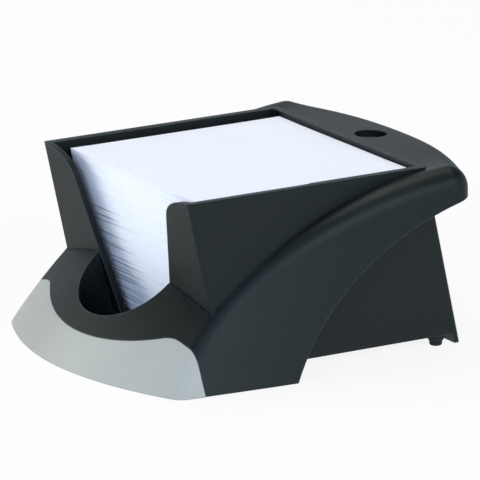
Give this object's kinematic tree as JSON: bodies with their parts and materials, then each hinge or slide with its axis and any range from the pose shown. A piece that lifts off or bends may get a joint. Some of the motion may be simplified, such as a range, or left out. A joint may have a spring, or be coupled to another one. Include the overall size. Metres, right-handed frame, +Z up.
{
  "type": "memo box",
  "caption": "Desk memo box: a leaning paper tray in an arched cover with a finger scoop, a pen socket and a grey front apron, holding loose square note paper.",
  "frame": {"origin": "on the desk, under the middle of the outline", "axes": "+X to the right seen from the front, +Y from the finger scoop to the pen deck, +Z up"},
  "size_m": [0.1294, 0.1529, 0.069],
  "materials": {
    "black_plastic": "black moulded plastic with a fine satin texture",
    "grey_plastic": "silver-grey moulded plastic, satin",
    "steel": "plain steel screws",
    "rubber": "dark grey rubber",
    "paper": "white uncoated note paper"
  },
  "bodies": {
    "housing": {"outer_cover": "black_plastic", "paper_tray": "black_plastic", "front_apron": "grey_plastic", "pen_tube": "black_plastic", "tray_screws": "steel", "foot_front_right": "rubber", "foot_front_left": "rubber", "foot_rear_right": "rubber", "foot_rear_left": "rubber"},
    "note_stack": {"note_packet_1": "paper", "note_packet_2": "paper", "note_packet_3": "paper", "note_packet_4": "paper", "note_packet_5": "paper", "note_packet_6": "paper"},
    "top_sheet": {"top_sheet": "paper"}
  },
  "joints": [
    {"name": "stack_lift", "type": "slide", "parent": "housing", "child": "note_stack", "axis": [0, -0.2181, 0.9759], "range_m": [0, 0.07]},
    {"name": "top_sheet_lift", "type": "slide", "parent": "note_stack", "child": "top_sheet", "axis": [0, -0.2181, 0.9759], "range_m": [0, 0.03]}
  ]
}
